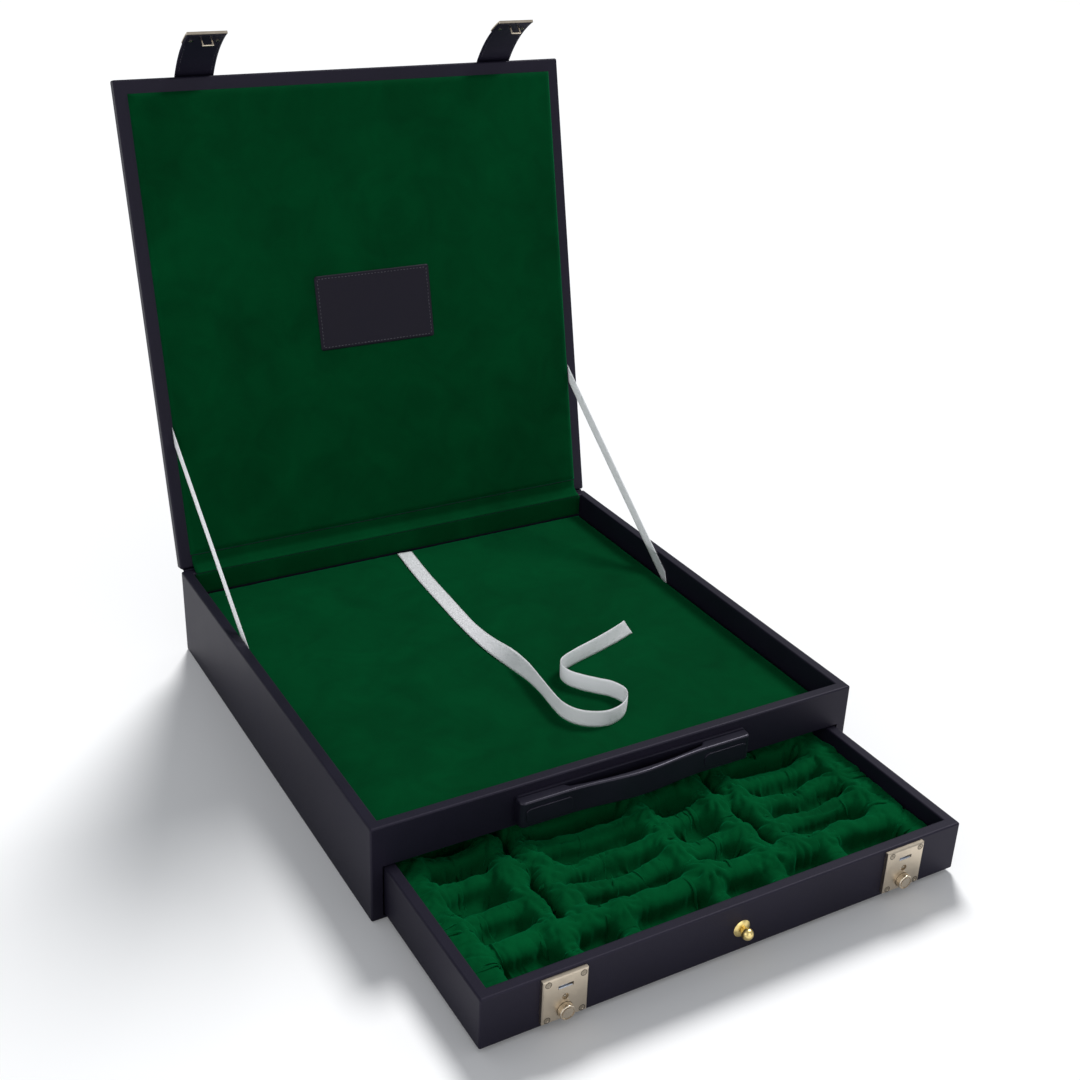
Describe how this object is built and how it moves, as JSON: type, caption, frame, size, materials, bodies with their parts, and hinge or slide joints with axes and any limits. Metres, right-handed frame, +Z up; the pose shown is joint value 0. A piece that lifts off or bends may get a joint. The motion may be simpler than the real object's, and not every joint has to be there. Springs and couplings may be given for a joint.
{
  "type": "chess box with drawer",
  "caption": "Square covered chess box: a hinged lid over a velvet-lined tray, and a sliding drawer with velvet pockets, push-button locks, leather straps and a carrying handle.",
  "frame": {"origin": "centre of the case's underside, on the table", "axes": "+X to the right, +Y to the back where the lid is hinged, +Z up"},
  "size_m": [0.52, 0.8334, 0.6593],
  "materials": {
    "leatherette": "semi-matte grain",
    "bare_board": "matte",
    "velvet": "velvet",
    "satin_ribbon": "satin",
    "label_cloth": "matte",
    "black_plastic": "satin",
    "steel": "satin",
    "lock_metal": "brushed",
    "brass": "polished"
  },
  "bodies": {
    "case": {"case_left_side": "leatherette", "case_right_side": "leatherette", "case_back": "leatherette", "case_front_rail": "leatherette", "case_base": "leatherette", "drawer_bay_board": "bare_board", "tray_floor_board": "bare_board", "tray_pad": "velvet", "tray_back_velvet": "velvet", "hinge_velvet": "velvet", "back_hinge_leather": "leatherette", "left_stay_ribbon": "satin_ribbon", "right_stay_ribbon": "satin_ribbon", "pull_ribbon": "satin_ribbon", "handle_base": "black_plastic", "handle_grip": "black_plastic", "handle_covers": "black_plastic", "handle_screws": "steel"},
    "drawer": {"drawer_front": "leatherette", "drawer_left_side": "leatherette", "drawer_right_side": "leatherette", "drawer_back": "leatherette", "drawer_bottom": "leatherette", "insert_pad": "velvet", "insert_border": "velvet", "insert_front_ridges": "velvet", "insert_long_ridges": "velvet", "insert_cross_ridges": "velvet", "knob_rosette": "brass", "drawer_knob": "brass", "knob_screw": "steel", "left_lock_plate": "lock_metal", "right_lock_plate": "lock_metal", "lock_screws": "lock_metal"},
    "lid": {"lid_board": "leatherette", "lid_panel": "velvet", "label_patch": "label_cloth"},
    "left_button": {"left_lock_button": "brass"},
    "left_catch": {"left_lock_catch": "steel"},
    "left_hasp": {"left_strap": "leatherette", "left_hasp_plate": "lock_metal", "left_hasp_staple": "brass", "left_hasp_rivets": "brass"},
    "right_button": {"right_lock_button": "brass"},
    "right_catch": {"right_lock_catch": "steel"},
    "right_hasp": {"right_strap": "leatherette", "right_hasp_plate": "lock_metal", "right_hasp_staple": "brass", "right_hasp_rivets": "brass"}
  },
  "joints": [
    {"name": "lid_hinge", "type": "hinge", "parent": "case", "child": "lid", "pos_m": [0, 0.26, 0.099], "axis": [1, 0, 0], "range_deg": [0, 102.1], "deforming": ["hinge_velvet", "back_hinge_leather", "left_stay_ribbon", "right_stay_ribbon"]},
    {"name": "drawer_slide", "type": "slide", "parent": "case", "child": "drawer", "axis": [0, 1, 0], "range_m": [-0.03, 0.1783]},
    {"name": "left_strap_fold", "type": "hinge", "parent": "lid", "child": "left_hasp", "pos_m": [-0.1728, 0.37745, 0.6087], "axis": [1, 0, 0], "range_deg": [-60, 28.3]},
    {"name": "left_lock_push", "type": "slide", "parent": "drawer", "child": "left_button", "axis": [0, 1, 0], "range_m": [0, 0.0025], "stiffness_N_per_m": 400, "springref_m": -0.002},
    {"name": "left_lock_drop", "type": "slide", "parent": "drawer", "child": "left_catch", "axis": [0, 0, -1], "range_m": [0, 0.003]},
    {"name": "right_strap_fold", "type": "hinge", "parent": "lid", "child": "right_hasp", "pos_m": [0.1798, 0.37745, 0.6087], "axis": [1, 0, 0], "range_deg": [-60, 28.3]},
    {"name": "right_lock_push", "type": "slide", "parent": "drawer", "child": "right_button", "axis": [0, 1, 0], "range_m": [0, 0.0025], "stiffness_N_per_m": 400, "springref_m": -0.002},
    {"name": "right_lock_drop", "type": "slide", "parent": "drawer", "child": "right_catch", "axis": [0, 0, -1], "range_m": [0, 0.003]}
  ],
  "couplings": [
    {"joint": "left_lock_drop", "follows": "left_lock_push", "ratio": 1.2},
    {"joint": "right_lock_drop", "follows": "right_lock_push", "ratio": 1.2}
  ]
}
